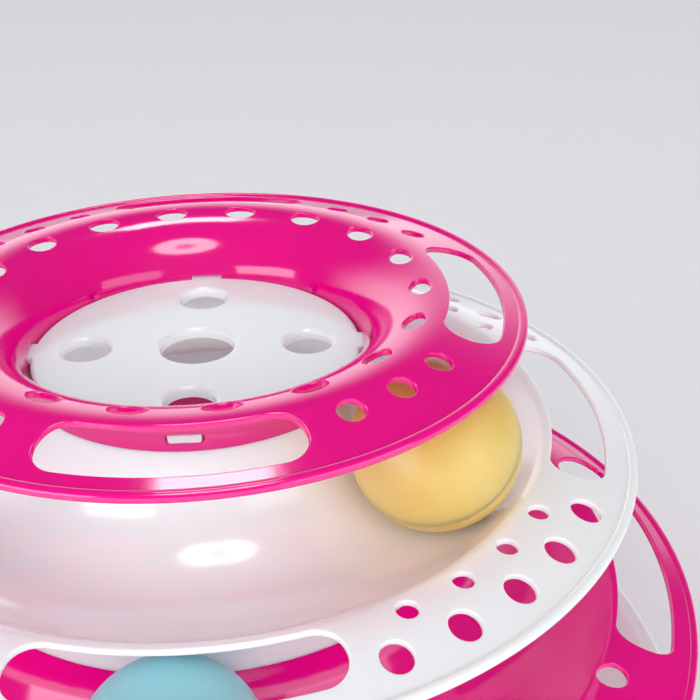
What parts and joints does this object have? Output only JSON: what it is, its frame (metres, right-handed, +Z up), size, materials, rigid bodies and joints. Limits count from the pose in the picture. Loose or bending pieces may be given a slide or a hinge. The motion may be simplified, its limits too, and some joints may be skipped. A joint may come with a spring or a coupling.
{
  "type": "cat ball track toy",
  "caption": "Round stacked cat toy: slotted track rings clip together on a dished base, and a hollow ball runs round in the groove of each track.",
  "frame": {"origin": "on the tower's axis, on the surface that the pads stand on", "axes": "+Z up along the tower's axis; the paw slots point along +X, +Y, -X and -Y; -Y is the picture's front"},
  "size_m": [0.2452, 0.2452, 0.1293],
  "materials": {
    "white_plastic": "gloss",
    "pink_plastic": "gloss",
    "yellow_ball_plastic": "satin",
    "blue_ball_plastic": "satin",
    "green_ball_plastic": "satin",
    "pad_rubber": "matte"
  },
  "bodies": {
    "tower": {"base": "white_plastic", "lower_track_ring": "pink_plastic", "middle_track_ring": "white_plastic", "top_track_ring": "pink_plastic", "cap_disc": "white_plastic", "non_slip_pad_1": "pad_rubber", "non_slip_pad_2": "pad_rubber", "non_slip_pad_3": "pad_rubber", "non_slip_pad_4": "pad_rubber"},
    "yellow_ball": {"yellow_ball_upper_half": "yellow_ball_plastic", "yellow_ball_lower_half": "yellow_ball_plastic"},
    "blue_ball": {"blue_ball_upper_half": "blue_ball_plastic", "blue_ball_lower_half": "blue_ball_plastic"},
    "green_ball": {"green_ball_upper_half": "green_ball_plastic", "green_ball_lower_half": "green_ball_plastic"}
  },
  "joints": [
    {"name": "yellow_ball_run", "type": "hinge", "parent": "tower", "child": "yellow_ball", "pos_m": [0, 0, 0], "axis": [0, 0, 1], "continuous": true},
    {"name": "blue_ball_run", "type": "hinge", "parent": "tower", "child": "blue_ball", "pos_m": [0, 0, 0], "axis": [0, 0, 1], "continuous": true},
    {"name": "green_ball_run", "type": "hinge", "parent": "tower", "child": "green_ball", "pos_m": [0, 0, 0], "axis": [0, 0, 1], "continuous": true}
  ]
}
